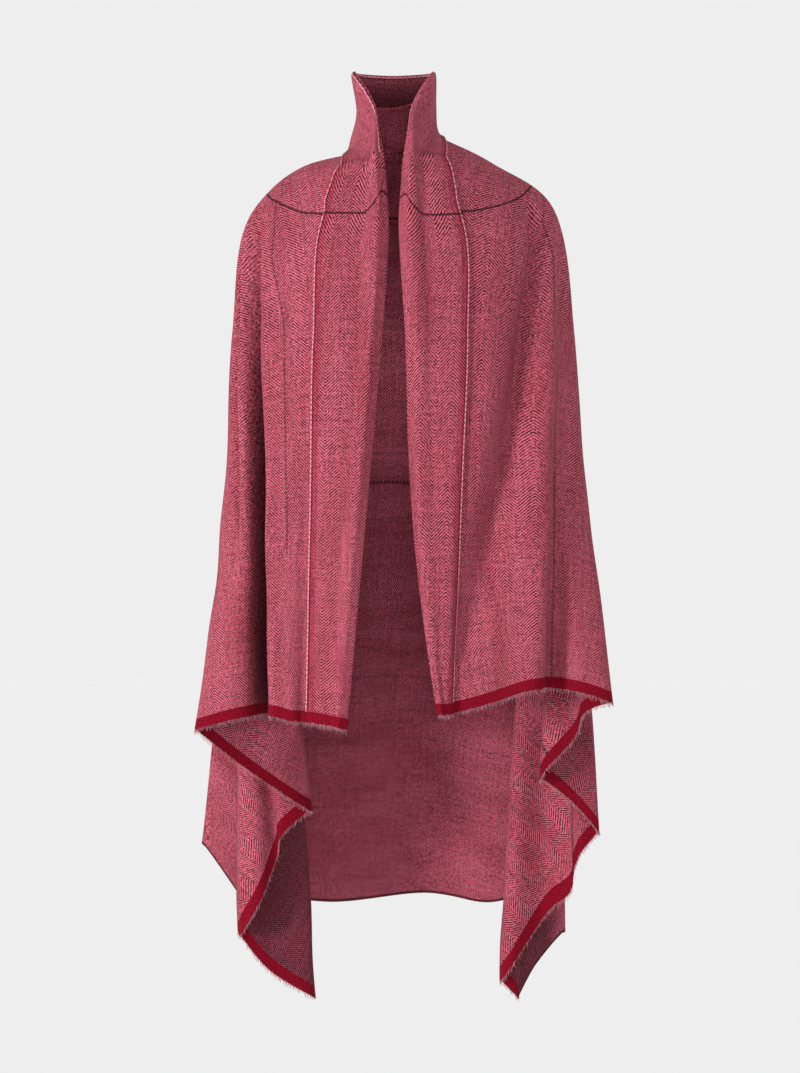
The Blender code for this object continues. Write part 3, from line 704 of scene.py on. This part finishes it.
# Points of one collar column: up the stand, over the folded edge, down the fall
def collarColumn(row, side):
    lying = stripKeys(side, np.array([0.0]))
    steps = fineSteps(len(lying))
    lying = overKeys(lying, steps)[:, 0]
    if row.name == "notch":
        return lying
    place = placeOfTurn(row.turn, side)
    base = oneOf(smoothCloth, place, 0) + [0, 0, collar["seat"]]
    edge = np.array(placed(neck["across"] * side + row.edgeAcross, row.edgeDepth, row.edgeDown, side))
    angle = math.radians(row.turn)
    out = np.array([side * math.sin(angle), -math.cos(angle), 0])
    waist = collar["waist"][side] * mm * math.sin(angle)
    height = edge[2] - base[2]
    radius = min(collar["foldRadius"], height * 0.3)
    drop = np.array([0, 0, -radius])
    middle = (base + edge) / 2
    freePlace = np.array([placeOfTurn(row.freeTurn, side)])
    freeRow = np.array([row.freeRow])
    free = (drapedCloth(freePlace, freeRow)
            + frameOf(drapedCloth, freePlace, freeRow)[2] * row.freeLift * mm)[0]
    stand = [base, middle - out * (waist + radius), edge - out * radius + drop, edge]
    hanging = [edge, edge + out * radius + drop, middle - out * (waist - radius),
               base + (edge - base) * 0.16 + out * (radius + collar["seatOut"]), free]
    crest = fine["standSteps"]
    fallSteps = steps[crest:] - 1
    stand = splineThrough(stand, 3 * steps[:crest])
    slump = slumpAt(row.turn)
    if slump > 0:
        inner = [base + (edge - base) * share - out * inward * mm for share, inward in innerFold]
        inner[-1] = edge
        inner = splineThrough(inner, steps[:crest] * (len(innerFold) - 1))
        stand = stand + (inner - stand) * slump
    hanging = splineThrough(hanging, fallSteps / 2)
    step = edge - lying[crest]
    lying = lying[crest:] + step * ((1 - fallSteps / fallSteps[-1]) ** 2)[:, None]
    start, width = collar["hangHeights"]
    hang = eased((height - start) / width)
    return np.concatenate([stand, lying + (hanging - lying) * hang])


def makeCollar(finish):
    entries = ([(row, -1) for row in collarRows] + [(collarCentre, 1)]
               + [(row, 1) for row in reversed(collarRows)])
    keys = [collarColumn(row, side) for row, side in entries]
    count = (len(keys) - 1) * fine["rimSteps"] + 1
    points = overKeys(keys, np.linspace(0, len(keys) - 1, count))
    out = waysOut(points, -1)
    for end, side in ((0, -1), (-1, 1)):
        out[end] = stripGrid(side, np.linspace(0, nearby, 3))[1][:, 0]
    crest = fine["standSteps"]
    girth = np.cumsum(lengthOf(np.diff(points[:, crest], axis=0, prepend=points[:1, crest]))[:, 0])
    ends = flatCloth(np.array([0.0, lastGuide]), np.zeros(2))
    edge = ends[0] + (ends[1] - ends[0]) * (girth / girth[-1])[:, None]
    flat = np.swapaxes(stripFlat(np.swapaxes(points, 0, 1), edge), 0, 1)
    run = np.cumsum(lengthOf(np.diff(points, axis=1, prepend=points[:, :1]))[..., 0], axis=1)
    turns = [row.turn if side < 0 else 360 - row.turn for row, side in entries]
    turns = np.interp(np.linspace(0, len(keys) - 1, count), np.arange(len(keys)), turns)
    dots = np.interp(turns, collar["dotsAt"]["turns"], collar["dotsAt"]["millimetres"]) * mm
    # Painted shade inside the back of the collar: from the lip of its inner fold up, fading out at the
    # rim
    height = np.zeros(run.shape[1])
    height[:crest] = np.arange(crest) / crest * (len(innerFold) - 1)
    shade = np.interp(height, *zip(*collar["shade"]))
    marks = {"fromFold": run - run[:, crest:crest + 1] - dots[:, None],
             "paintedFoldShade": slumpAt(np.minimum(turns, 360 - turns))[:, None] * shade}
    return sheetMesh("collar", [(points, out, flat, marks)], finish)


# Shares of the length: how far a strand leans and curls along the hem and out from the cloth
fringe = {"spacing": 0.75 * mm, "length": 7 * mm, "radius": 0.36 * mm, "seed": 7, "root": 1.2 * mm,
          "droop": 0.35, "lean": (0.32, 0.3), "curl": (0.3, 0.25)}


# The hem's edge from the corner to the opening and over the fold: points, down and out
def hemPath(side):
    places = np.array(frontPlaces[side])
    places = places[inBand(places)]
    row = np.full(places.shape, float(cloth["lastRow"]))
    points = drapedCloth(places, row)
    along, down, out = frameOf(drapedCloth, places, row)
    if side < 0:
        points, down, out = points[::-1], down[::-1], out[::-1]
    grid, gridOut, flat = stripGrid(side, [cloth["lastRow"] - nearby, cloth["lastRow"]])
    below = grid[:, 1] - grid[:, 0]
    return (np.concatenate([points, grid[1:, 1]]), np.concatenate([down, (below / lengthOf(below))[1:]]),
            np.concatenate([out, gridOut[1:, 1]]))


# Loose yarn ends, each a thin three-sided strand that bends and tapers
def makeFringe(name, side, finish):
    points, down, out = hemPath(side)
    run = np.cumsum(lengthOf(np.diff(points, axis=0, prepend=points[:1]))[:, 0])
    count = int(run[-1] / fringe["spacing"])
    dice = np.random.default_rng(fringe["seed"] + side)
    at = np.clip((np.arange(count) + dice.uniform(-0.4, 0.4, count)) * fringe["spacing"], 0, run[-1])
    blend = lambda values: np.stack([np.interp(at, run, values[:, k]) for k in range(3)], -1)
    root, fall, face = blend(points), blend(down), blend(out)
    tangent = np.cross(fall, face)
    fall += np.array([0, 0, -fringe["droop"]])
    fall /= lengthOf(fall)
    tuft = np.sin(at * 900 + 3 * np.sin(at * 170))
    length = fringe["length"] * (0.75 + 0.22 * tuft + dice.uniform(-0.3, 0.45, count))
    lean, curl = (tangent * dice.normal(0, aside, count)[:, None]
                  + face * dice.normal(0, outward, count)[:, None]
                  for aside, outward in (fringe["lean"], fringe["curl"]))
    root = root - fall * fringe["root"] + face * dice.uniform(-0.5, 0.5, count)[:, None] * wall
    bm = bmesh.new()
    bmesh.ops.create_cone(bm, cap_ends=True, segments=3, radius1=1, radius2=0.35, depth=1)
    bmesh.ops.translate(bm, verts=bm.verts, vec=(0, 0, 0.5))
    for cutAt in (1 / 3, 2 / 3):
        bmesh.ops.bisect_plane(bm, geom=bm.verts[:] + bm.edges[:] + bm.faces[:],
                               plane_co=(0, 0, cutAt), plane_no=(0, 0, 1))
    bm.verts.ensure_lookup_table()
    bm.verts.index_update()
    model = np.array([vert.co[:] for vert in bm.verts])
    faces = [[vert.index for vert in face.verts] for face in bm.faces]
    bm.free()
    t = model[:, 2][None, :, None]
    bend = fall[:, None] * t + lean[:, None] * t * 0.5 + curl[:, None] * t * t * 0.6
    bend = length[:, None, None] * bend
    thick = fringe["radius"] * dice.uniform(0.7, 1.3, count)[:, None, None]
    spots = (root[:, None] + bend + tangent[:, None] * model[None, :, 0:1] * thick
             + face[:, None] * model[None, :, 1:2] * thick)
    size = len(model)
    mesh = bpy.data.meshes.new(name)
    mesh.from_pydata(spots.reshape(-1, 3).tolist(), [],
                     [[v + k * size for v in face] for k in range(count) for face in faces])
    shade = mesh.attributes.new("strandShade", "FLOAT", "POINT")
    shade.data.foreach_set("value", np.repeat(dice.uniform(0, 1, count), size).astype(np.float32))
    tip = mesh.attributes.new("strandTip", "FLOAT", "POINT")
    tip.data.foreach_set("value", np.tile(model[:, 2], count).astype(np.float32))
    bm = bmesh.new()
    bm.from_mesh(mesh)
    bmesh.ops.recalc_face_normals(bm, faces=bm.faces)
    bm.to_mesh(mesh)
    bm.free()
    mesh.shade_smooth()
    return addPiece(name, mesh, finish)


def linearColour(hexColour):
    parts = [int(hexColour[i:i + 2], 16) / 255 for i in (1, 3, 5)]
    return [c / 12.92 if c <= 0.04045 else ((c + 0.055) / 1.055) ** 2.4 for c in parts] + [1.0]


def addNode(tree, kind, inputs=None, **settings):
    node = tree.nodes.new("ShaderNode" + kind)
    for key, value in settings.items():
        setattr(node, key, value)
    for key, value in (inputs or {}).items():
        if isinstance(value, bpy.types.Node):
            value = next(socket for socket in value.outputs if socket.enabled)
        if isinstance(value, bpy.types.NodeSocket):
            tree.links.new(value, node.inputs[key])
        else:
            node.inputs[key].default_value = value
    return node


def newFinish(name):
    finish = bpy.data.materials.new(name)
    finish.use_nodes = True
    finish.node_tree.nodes.clear()
    return finish, finish.node_tree


# Colours as they look in soft light; lengths are real millimetres on the flat cloth, but the pitch of
# the diagonals is about an eighth coarser than on the real cloth, so that they still show from afar
weave = {"column": 21 * mm, "pitch": 4.5 * mm, "wobble": 0.5 * mm, "palest": "#DC929E",
         "paleYarn": "#BC5266", "darkYarn": "#2E010A", "crimson": "#B03048", "navy": "#1C1018",
         "maroon": "#26020A", "weftHalf": 1.7 * mm, "roughness": 0.85, "sheen": 0.05,
         "specular": 0.16, "bump": 0.5 * mm, "dash": 7 * mm}
# Darker warp yarns: v on the flat cloth, half width in millimetres, strength, and where they run in u
warpLines = [(0.137, 0.8, 0.25, -1, 1), (0.185, 0.8, 0.22, -1, 1), (0.38, 1.0, 0.3, -1, 1),
             (0.44, 1.0, 0.4, -0.4, 0.4), (0.50, 1.0, 0.35, -1, 1), (0.56, 1.0, 0.45, -0.4, 0.4),
             (0.600, 2.4, 0.85, -0.45, 1), (0.67, 0.9, 0.3, -1, 1), (0.73, 0.8, 0.35, -0.5, 0.5),
             (0.80, 1.0, 0.45, -0.5, 0.5), (0.83, 0.8, 0.35, -0.5, 0.5), (0.865, 0.8, 0.45, -0.5, 0.5),
             (0.90, 0.8, 0.3, -0.5, 0.5), (0.95, 0.8, 0.35, -0.5, 0.5)]


# Handwoven 2/2 herringbone wool, two shades of yarn: short diagonals that turn at each column, slubs,
# a hazy nap and a few darker yarns. It looks soft and dry, paler where yarns catch the light.
def herringboneWool():
    finish, tree = newFinish("herringbone wool")
    place = addNode(tree, "UVMap", uv_map="cloth")
    flat = addNode(tree, "SeparateXYZ", {0: place})
    along, across = flat.outputs[0], flat.outputs[1]
    drift = addNode(tree, "TexNoise", {"Vector": place, "Scale": 55.0, "Detail": 3.0})
    drift = addNode(tree, "Math", {0: drift, 1: 0.5}, operation="SUBTRACT")
    drift = addNode(tree, "Math", {0: drift, 1: weave["wobble"] * 4}, operation="MULTIPLY")
    turned = addNode(tree, "Math", {0: across, 1: weave["column"]}, operation="PINGPONG")
    slant = addNode(tree, "Math", {0: along, 1: turned}, operation="ADD")
    slant = addNode(tree, "Math", {0: slant, 1: drift}, operation="ADD")
    slant = addNode(tree, "Math", {0: slant, 1: 2 * math.pi / weave["pitch"]}, operation="MULTIPLY")
    twill = addNode(tree, "Math", {0: slant}, operation="SINE")
    twill = addNode(tree, "MapRange", {"Value": twill, "From Min": -0.3, "From Max": 0.3})
    slub = addNode(tree, "TexNoise", {"Vector": place, "Scale": 190.0, "Detail": 3.0})
    patch = addNode(tree, "TexNoise", {"Vector": place, "Scale": 16.0, "Detail": 3.0})
    # How much the diagonals show from place to place
    show = addNode(tree, "MapRange", {"Value": patch, "From Min": 0.35, "From Max": 0.65,
                                      "To Min": 0.6, "To Max": 1.0})
    even = addNode(tree, "Mix", {0: show, 2: 0.5, 3: twill})
    blend = addNode(tree, "Math", {0: slub, 1: 0.5}, operation="SUBTRACT")
    blend = addNode(tree, "Math", {0: blend, 1: 1.2, 2: even}, operation="MULTIPLY_ADD")
    # Uneven yarns, first along the warp and then along the weft
    for scale in ((14.0, 420.0, 1.0), (420.0, 14.0, 1.0)):
        streak = addNode(tree, "Mapping", {"Vector": place, "Scale": scale})
        streak = addNode(tree, "TexNoise", {"Vector": streak, "Scale": 1.0, "Detail": 2.0})
        lean = addNode(tree, "Math", {0: streak, 1: 0.5}, operation="SUBTRACT")
        blend = addNode(tree, "Math", {0: lean, 1: 0.75, 2: blend}, operation="MULTIPLY_ADD")
    # Round the shoulders, where the flat cloth is strained, the nap hides the weave
    nap = addNode(tree, "TexCoord").outputs["Object"]
    nap = addNode(tree, "TexNoise", {"Vector": nap, "Scale": 260.0, "Detail": 3.0})
    nap = addNode(tree, "MapRange", {"Value": nap, "From Min": 0.3, "From Max": 0.7})
    strained = addNode(tree, "Attribute", attribute_name="strain")
    blend = addNode(tree, "Mix", {0: strained.outputs["Fac"], 2: blend, 3: nap})
    blend = addNode(tree, "Clamp", {0: blend})
    colour = addNode(tree, "Mix", {0: blend, 6: linearColour(weave["darkYarn"]),
                                   7: linearColour(weave["paleYarn"])}, data_type="RGBA")
    palest, navy, maroon = (linearColour(weave[yarn]) for yarn in ("palest", "navy", "maroon"))
    fleck = addNode(tree, "TexNoise", {"Vector": place, "Scale": 600.0, "Detail": 1.0})
    fleck = addNode(tree, "MapRange", {"Value": fleck, "From Min": 0.58, "From Max": 0.72,
                                       "To Max": 0.8})
    colour = addNode(tree, "Mix", {0: fleck, 6: colour, 7: palest}, data_type="RGBA")
    # Slow drift between crimson and mauve yarn, in broad bars across the cloth
    bars = addNode(tree, "Mapping", {"Vector": place, "Scale": (5.0, 26.0, 1.0)})
    bars = addNode(tree, "TexNoise", {"Vector": bars, "Scale": 1.0, "Detail": 2.0})
    bars = addNode(tree, "MapRange", {"Value": bars, "From Min": 0.4, "From Max": 0.75, "To Max": 0.4})
    colour = addNode(tree, "Mix", {0: bars, 6: colour, 7: linearColour(weave["crimson"])},
                     data_type="RGBA", blend_type="MULTIPLY")
    beads = addNode(tree, "Math", {0: along, 1: 2 * math.pi / weave["dash"]}, operation="MULTIPLY")
    beads = addNode(tree, "Math", {0: beads}, operation="SINE")
    beads = addNode(tree, "MapRange", {"Value": beads, "From Min": -0.6, "From Max": 0.2,
                                       "To Min": 0.35})
    # What lies over the weave, in order: a colour and the shares that are multiplied for it
    layers = []
    for at, half, strength, fromU, toU in warpLines:
        line = addNode(tree, "Math", {0: across, 1: at, 2: half * mm}, operation="COMPARE")
        here = addNode(tree, "Math", {0: along, 1: (fromU + toU) / 2, 2: (toU - fromU) / 2},
                       operation="COMPARE")
        layers.append((navy, line, beads, strength, here))
    course = addNode(tree, "Attribute", attribute_name="fromNavy").outputs["Fac"]
    line = addNode(tree, "Math", {0: course, 1: 0.0, 2: 1.5 * mm}, operation="COMPARE")
    layers.append((navy, line, beads, 0.65))
    # The free upper selvage: a pale twisted cord with a crimson zone beside it
    zone = addNode(tree, "Math", {0: across, 1: 11 * mm}, operation="LESS_THAN")
    deep = addNode(tree, "Mix", {0: blend, 6: linearColour("#30000C"), 7: linearColour("#B03850")},
                   data_type="RGBA")
    layers.append((deep, zone, 0.75))
    gap = addNode(tree, "Math", {0: across, 1: 3.2 * mm, 2: 1.2 * mm}, operation="COMPARE")
    layers.append((linearColour("#3C0210"), gap, 0.6))
    cord = addNode(tree, "Math", {0: across, 1: 1.8 * mm}, operation="LESS_THAN")
    layers.append((palest, cord, beads, 0.7))
    # A dotted warp yarn along the folded edge of the collar: a dark run with a pale one beside it
    folded = addNode(tree, "Attribute", attribute_name="fromFold").outputs["Fac"]
    for at, half, tint in ((0.0, 1.5, maroon), (3.2, 1.1, palest)):
        dots = addNode(tree, "Math", {0: folded, 1: at * mm, 2: half * mm}, operation="COMPARE")
        layers.append((tint, dots, beads, 0.8))
    # Painted shade: deeper colour inside the back of the collar and deep in the folds
    paintedShade = addNode(tree, "Attribute", attribute_name="paintedFoldShade").outputs["Fac"]
    layers.append((maroon, paintedShade, 0.85))
    # The dark weft, a little ragged, and the darker lower selvage
    below = addNode(tree, "Attribute", attribute_name="belowWeft").outputs["Fac"]
    ragged = addNode(tree, "Math", {0: below, 1: drift}, operation="ADD")
    weftBar = addNode(tree, "Math", {0: ragged, 1: weave["weftHalf"], 2: weave["weftHalf"]},
                      operation="COMPARE")
    layers.append((maroon, weftBar, 0.85))
    above = addNode(tree, "Attribute", attribute_name="aboveSelvage").outputs["Fac"]
    edge = addNode(tree, "Math", {0: above, 1: 4 * mm}, operation="LESS_THAN")
    layers.append((maroon, edge, 0.75))
    for tint, share, *others in layers:
        for other in others:
            share = addNode(tree, "Math", {0: share, 1: other}, operation="MULTIPLY")
        colour = addNode(tree, "Mix", {0: share, 6: colour, 7: tint}, data_type="RGBA")
    relief = addNode(tree, "Math", {0: fleck, 1: 0.5, 2: blend}, operation="MULTIPLY_ADD")
    bump = addNode(tree, "Bump", {"Height": relief, "Strength": 0.8, "Distance": weave["bump"]})
    shader = addNode(tree, "BsdfPrincipled", {
        "Base Color": colour, "Normal": bump, "Roughness": weave["roughness"],
        "Specular IOR Level": weave["specular"], "Sheen Weight": weave["sheen"],
        "Sheen Roughness": 0.5, "Sheen Tint": linearColour("#E8A0B0")})
    addNode(tree, "OutputMaterial", {"Surface": shader})
    return finish


band = {"colour": "#86041E", "shade": "#4C0210", "rib": 1.8 * mm}


# Plain-woven crimson wool of the end band: fine ribs along the hem, deeper in colour, a little lustre
def crimsonWool():
    finish, tree = newFinish("crimson wool")
    place = addNode(tree, "UVMap", uv_map="cloth")
    flat = addNode(tree, "SeparateXYZ", {0: place})
    yarns = []
    for way in flat.outputs[:2]:
        turn = addNode(tree, "Math", {0: way, 1: 2 * math.pi / band["rib"]}, operation="MULTIPLY")
        yarns.append(addNode(tree, "Math", {0: turn}, operation="SINE"))
    cells = addNode(tree, "Math", {0: yarns[0], 1: yarns[1]}, operation="MULTIPLY")
    fuzz = addNode(tree, "TexNoise", {"Vector": place, "Scale": 320.0, "Detail": 3.0})
    mixed = addNode(tree, "Math", {0: cells, 1: 0.22, 2: fuzz}, operation="MULTIPLY_ADD")
    mixed = addNode(tree, "MapRange", {"Value": mixed, "From Min": 0.25, "From Max": 0.75})
    colour = addNode(tree, "Mix", {0: mixed, 6: linearColour(band["shade"]),
                                   7: linearColour(band["colour"])}, data_type="RGBA")
    bump = addNode(tree, "Bump", {"Height": mixed, "Strength": 0.7, "Distance": 0.4 * mm})
    shader = addNode(tree, "BsdfPrincipled", {
        "Base Color": colour, "Normal": bump, "Roughness": 0.85, "Specular IOR Level": 0.08,
        "Sheen Weight": 0.04, "Sheen Roughness": 0.45, "Sheen Tint": linearColour("#E06078")})
    addNode(tree, "OutputMaterial", {"Surface": shader})
    return finish


# Frayed wool yarn: pale pink ends with some crimson ones, hairy and matt
def frayedYarn():
    finish, tree = newFinish("frayed yarn")
    shade = addNode(tree, "Attribute", attribute_name="strandShade")
    tip = addNode(tree, "Attribute", attribute_name="strandTip")
    some = addNode(tree, "MapRange", {"Value": shade.outputs["Fac"], "From Min": 0.25, "From Max": 0.7})
    colour = addNode(tree, "Mix", {0: some, 6: linearColour("#74142A"), 7: linearColour("#B4707C")},
                     data_type="RGBA")
    pale = addNode(tree, "Math", {0: tip.outputs["Fac"], 1: 0.35}, operation="MULTIPLY")
    colour = addNode(tree, "Mix", {0: pale, 6: colour, 7: linearColour("#C08E98")}, data_type="RGBA")
    place = addNode(tree, "TexCoord").outputs["Object"]
    twist = addNode(tree, "TexNoise", {"Vector": place, "Scale": 1500.0, "Detail": 1.0})
    bump = addNode(tree, "Bump", {"Height": twist, "Strength": 0.5, "Distance": 0.1 * mm})
    shader = addNode(tree, "BsdfPrincipled", {
        "Base Color": colour, "Normal": bump, "Roughness": 0.9, "Specular IOR Level": 0.15,
        "Sheen Weight": 0.3})
    addNode(tree, "OutputMaterial", {"Surface": shader})
    return finish


wool, crimson, yarn = herringboneWool(), crimsonWool(), frayedYarn()
print("materials ready")
pieces = {"back": makeBack(wool), "collar": makeCollar(wool)}
for hand, side in (("left", -1), ("right", 1)):
    pieces["front_" + hand] = makeFront("front_" + hand, side, wool)
    pieces["lapel_" + hand] = makeLapel("lapel_" + hand, side, wool)
    pieces["end_band_" + hand] = makeEndBand("end_band_" + hand, side, crimson)
    pieces["fringe_" + hand] = makeFringe("fringe_" + hand, side, yarn)

# Lights: name, place, aim, size in metres and watts
studio = {"floor": -1.46, "half": 14, "air": "#EEEEEE", "paper": "#303030", "paperGrain": "#343434",
          "glow": 0.815,
          "lights": [("key", (-3.1, -2.9, -0.65), (0, 0, -0.7), 1.0, 165),
                     ("fill", (0.05, -4.3, -0.4), (0, 0, -0.5), 0.9, 32),
                     ("inner glow", (0.0, -0.05, -0.30), (0.02, 0.1, -0.36), 0.16, 0.16)]}


# A wide pale floor of matt paper, as bright as the air round it
def makeStudio():
    finish, tree = newFinish("matt paper")
    place = addNode(tree, "TexCoord").outputs["Object"]
    grain = addNode(tree, "TexNoise", {"Vector": place, "Scale": 40.0, "Detail": 3.0})
    colour = addNode(tree, "Mix", {0: grain, 6: linearColour(studio["paper"]),
                                   7: linearColour(studio["paperGrain"])}, data_type="RGBA")
    shader = addNode(tree, "BsdfPrincipled", {
        "Base Color": colour, "Roughness": 0.95, "Specular IOR Level": 0.05,
        "Emission Color": linearColour("#FFFFFF"), "Emission Strength": studio["glow"]})
    addNode(tree, "OutputMaterial", {"Surface": shader})
    bm = bmesh.new()
    bmesh.ops.create_grid(bm, x_segments=4, y_segments=4, size=studio["half"])
    bmesh.ops.translate(bm, verts=bm.verts, vec=(0, 0, studio["floor"]))
    mesh = bpy.data.meshes.new("paper floor")
    bm.to_mesh(mesh)
    bm.free()
    mesh.materials.append(finish)
    floor = newObject("paper_floor", mesh)


def addLight(name, place, aim, size, watts):
    lamp = bpy.data.lights.new(name, "AREA")
    lamp.shape, lamp.size, lamp.energy = "DISK", size, watts
    light = newObject(name, lamp)
    light.location = place
    way = Vector(aim) - Vector(place)
    light.rotation_euler = way.to_track_quat("-Z", "Y").to_euler()


makeStudio()
for entry in studio["lights"]:
    addLight(*entry)
world = bpy.data.worlds.new("studio air")
world.use_nodes = True
world.node_tree.nodes["Background"].inputs["Color"].default_value = linearColour(studio["air"])
bpy.context.scene.world = world

lens = bpy.data.cameras.new("front view")
lens.sensor_fit = "VERTICAL"
lens.lens = lens.sensor_height * view["distance"] / view["frameHeight"]
camera = newObject("front view", lens)
camera.location = (0, -view["distance"], view["height"])
camera.rotation_euler = (math.pi / 2, 0, 0)
bpy.context.scene.camera = camera
bpy.context.scene.view_settings.view_transform = "Standard"
print("studio ready")
